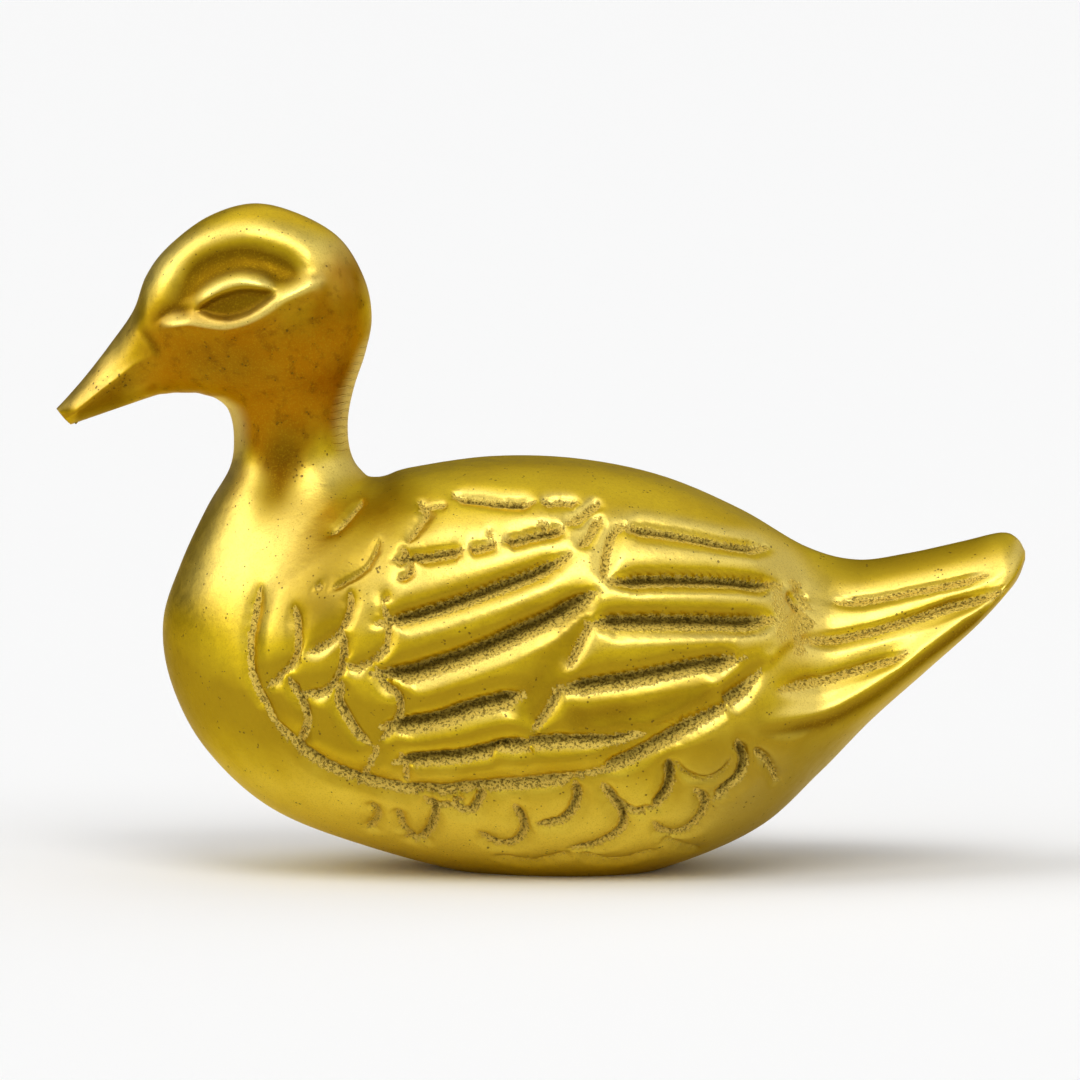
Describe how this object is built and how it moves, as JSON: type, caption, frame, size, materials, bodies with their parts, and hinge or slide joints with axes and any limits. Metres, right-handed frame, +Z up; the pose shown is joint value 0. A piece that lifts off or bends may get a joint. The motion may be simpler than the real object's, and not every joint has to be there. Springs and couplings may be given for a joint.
{
  "type": "duck figurine",
  "caption": "Hollow cast brass duck in two half shells joined by a brazed seam, with carved wings, tail and eyes, resting on a flat under its belly.",
  "frame": {"origin": "on the ground, under the middle of the duck's length and width", "axes": "+X towards the tail, the bill points along -X, +Z up, +Y towards the right half"},
  "size_m": [0.0968, 0.0428, 0.0666],
  "materials": {
    "cast_brass": "satin polished sand casting with darker grainy grooves",
    "braze_filler": "filed flush and polished with the casting"
  },
  "bodies": {
    "root": {"left_half": "cast_brass", "right_half": "cast_brass", "braze_seam": "braze_filler"}
  },
  "joints": []
}
